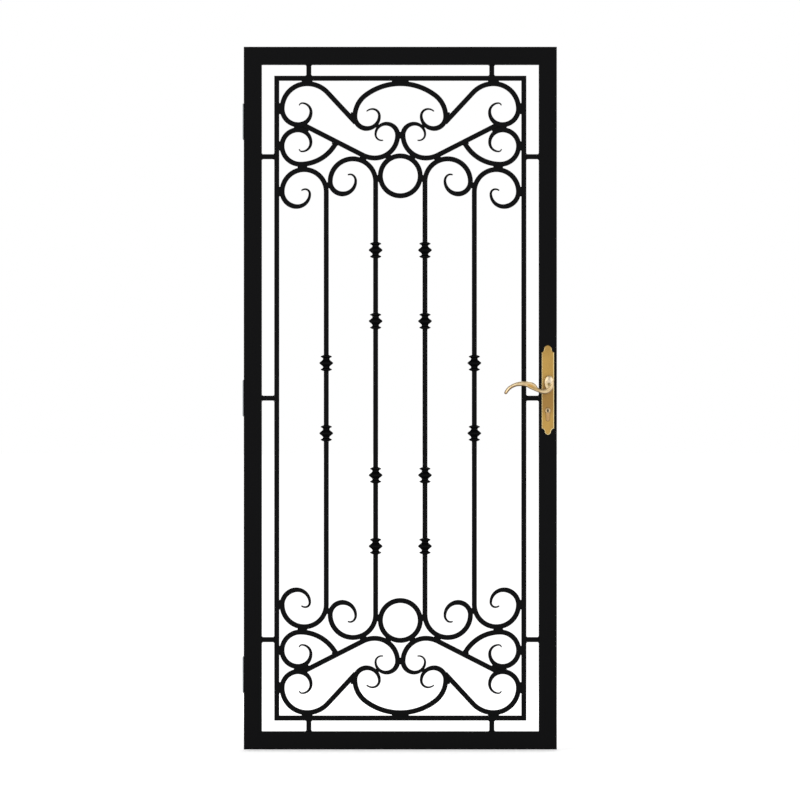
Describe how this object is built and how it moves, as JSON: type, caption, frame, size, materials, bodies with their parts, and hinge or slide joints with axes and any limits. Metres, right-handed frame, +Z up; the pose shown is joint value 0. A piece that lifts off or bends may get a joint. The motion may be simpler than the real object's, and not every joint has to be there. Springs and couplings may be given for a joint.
{
  "type": "wrought iron security door",
  "caption": "Ironwork security door: a square-tube frame filled with crook-ended pickets, rings and curling scrolls, with a brass lever lock and hinges at the back.",
  "frame": {"origin": "on the mounting face of the middle hinge's wall plate, at the leaf's half height and in the middle plane of its thickness", "axes": "+Z up, +X from the hinge side across the leaf to the lock side, -Y out of the front face, towards the viewer of the picture; the door opens towards +Y"},
  "size_m": [0.8862, 0.1254, 1.9812],
  "materials": {
    "black_coated_iron": "satin black powder coat",
    "polished_brass": "polished and lacquered",
    "pale_brass": "polished and lacquered",
    "lock_steel": "brushed",
    "hinge_leaf_steel": "zinc plated",
    "hinge_pin_steel": "turned"
  },
  "bodies": {
    "wall_hinge_leaves": {"hinge_wall_leaves": "hinge_leaf_steel", "hinge_pins": "hinge_pin_steel"},
    "door": {"top_rail": "black_coated_iron", "bottom_rail": "black_coated_iron", "left_stile": "black_coated_iron", "right_stile": "black_coated_iron", "inner_left_bar": "black_coated_iron", "inner_right_bar": "black_coated_iron", "inner_top_bar": "black_coated_iron", "inner_bottom_bar": "black_coated_iron", "side_spacers": "black_coated_iron", "end_spacers": "black_coated_iron", "picket_1": "black_coated_iron", "picket_2": "black_coated_iron", "picket_3": "black_coated_iron", "picket_4": "black_coated_iron", "picket_collars": "black_coated_iron", "upper_ring": "black_coated_iron", "lower_ring": "black_coated_iron", "upper_arch_scroll": "black_coated_iron", "lower_arch_scroll": "black_coated_iron", "upper_left_corner_scroll": "black_coated_iron", "upper_right_corner_scroll": "black_coated_iron", "lower_left_corner_scroll": "black_coated_iron", "lower_right_corner_scroll": "black_coated_iron", "upper_left_brace_scroll": "black_coated_iron", "upper_right_brace_scroll": "black_coated_iron", "lower_left_brace_scroll": "black_coated_iron", "lower_right_brace_scroll": "black_coated_iron", "upper_left_side_scroll": "black_coated_iron", "upper_right_side_scroll": "black_coated_iron", "lower_left_side_scroll": "black_coated_iron", "lower_right_side_scroll": "black_coated_iron", "upper_welds": "black_coated_iron", "lower_welds": "black_coated_iron", "hinge_door_leaves": "black_coated_iron", "mortise_lock": "lock_steel", "lock_bolts": "lock_steel", "front_lock_plate": "polished_brass", "back_lock_plate": "polished_brass", "lock_cylinder": "polished_brass"},
    "lever": {"front_lever": "pale_brass", "back_lever": "pale_brass", "lever_spindle": "lock_steel"},
    "front_plug": {"front_key_plug": "polished_brass"},
    "back_plug": {"back_key_plug": "polished_brass"}
  },
  "joints": [
    {"name": "door_swing", "type": "hinge", "parent": "wall_hinge_leaves", "child": "door", "pos_m": [0.0055, 0.0192, 0], "axis": [0, 0, 1], "range_deg": [0, 170]},
    {"name": "lever_turn", "type": "hinge", "parent": "door", "child": "lever", "pos_m": [0.86075, 0, 0.05], "axis": [0, -1, 0], "range_deg": [0, 40], "stiffness_Nm_per_rad": 1.6, "springref_deg": -25.78},
    {"name": "front_key_turn", "type": "hinge", "parent": "door", "child": "front_plug", "pos_m": [0.86075, -0.015, -0.035], "axis": [0, 1, 0], "continuous": true},
    {"name": "back_key_turn", "type": "hinge", "parent": "door", "child": "back_plug", "pos_m": [0.86075, 0.015, -0.035], "axis": [0, 1, 0], "continuous": true}
  ]
}
